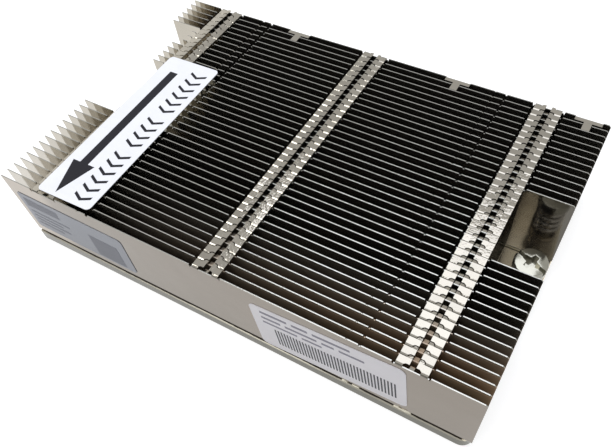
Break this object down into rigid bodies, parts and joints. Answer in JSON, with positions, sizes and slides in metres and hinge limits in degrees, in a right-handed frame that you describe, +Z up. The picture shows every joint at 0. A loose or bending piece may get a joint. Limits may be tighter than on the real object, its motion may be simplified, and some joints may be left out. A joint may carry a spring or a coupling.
{
  "type": "passive server cpu heatsink",
  "caption": "Low finned heatsink for a server processor: thin folded fins hooked together on a flat base, with a captive spring screw in a notch at each end.",
  "frame": {"origin": "on the flat underside of the base, midway between the two screw axes", "axes": "+X along the fins towards the end whose screw is open to view, +Y from the front fin to the rear fin, +Z up from the base to the fin tips"},
  "size_m": [0.127, 0.0822, 0.0252],
  "materials": {
    "base_nickel": "satin nickel plate over copper",
    "solder": "dull tin solder",
    "fin_nickel": "thin nickel-plated sheet, satin",
    "screw_steel": "bright zinc plate",
    "spring_steel": "dark oiled wire",
    "ring_steel": "plain spring steel",
    "label_paper": "white paper label",
    "label_ink": "black print",
    "label_foil": "silvery blue foil label",
    "label_film": "pale lavender film label"
  },
  "bodies": {
    "heatsink": {"base_plate": "base_nickel", "solder_layer": "solder", "fin_01": "fin_nickel", "fin_02": "fin_nickel", "fin_03": "fin_nickel", "fin_04": "fin_nickel", "fin_05": "fin_nickel", "fin_06": "fin_nickel", "fin_07": "fin_nickel", "fin_08": "fin_nickel", "fin_09": "fin_nickel", "fin_10": "fin_nickel", "fin_11": "fin_nickel", "fin_12": "fin_nickel", "fin_13": "fin_nickel", "fin_14": "fin_nickel", "fin_15": "fin_nickel", "fin_16": "fin_nickel", "fin_17": "fin_nickel", "fin_18": "fin_nickel", "fin_19": "fin_nickel", "fin_20": "fin_nickel", "fin_21": "fin_nickel", "fin_22": "fin_nickel", "fin_23": "fin_nickel", "fin_24": "fin_nickel", "fin_25": "fin_nickel", "fin_26": "fin_nickel", "fin_27": "fin_nickel", "fin_28": "fin_nickel", "fin_29": "fin_nickel", "fin_30": "fin_nickel", "fin_31": "fin_nickel", "fin_32": "fin_nickel", "fin_33": "fin_nickel", "fin_34": "fin_nickel", "fin_35": "fin_nickel", "fin_36": "fin_nickel", "fin_37": "fin_nickel", "rear_fin": "fin_nickel", "arrow_label": "label_paper", "arrow_mark": "label_ink", "foil_label": "label_foil", "bar_label": "label_film", "spring_left": "spring_steel", "spring_right": "spring_steel"},
    "ring_left": {"retaining_ring_left": "ring_steel"},
    "screw_left": {"screw_left": "screw_steel"},
    "ring_right": {"retaining_ring_right": "ring_steel"},
    "screw_right": {"screw_right": "screw_steel"}
  },
  "joints": [
    {"name": "screw_travel_left", "type": "slide", "parent": "heatsink", "child": "ring_left", "axis": [0, 0, -1], "range_m": [0, 0.004], "stiffness_N_per_m": 8000, "springref_m": -0.002, "deforming": ["spring_left"]},
    {"name": "screw_turn_left", "type": "hinge", "parent": "ring_left", "child": "screw_left", "pos_m": [-0.0524, 0, 0.01495], "axis": [0, 0, 1], "continuous": true},
    {"name": "screw_travel_right", "type": "slide", "parent": "heatsink", "child": "ring_right", "axis": [0, 0, -1], "range_m": [0, 0.004], "stiffness_N_per_m": 8000, "springref_m": -0.002, "deforming": ["spring_right"]},
    {"name": "screw_turn_right", "type": "hinge", "parent": "ring_right", "child": "screw_right", "pos_m": [0.0524, 0, 0.01495], "axis": [0, 0, 1], "continuous": true}
  ]
}
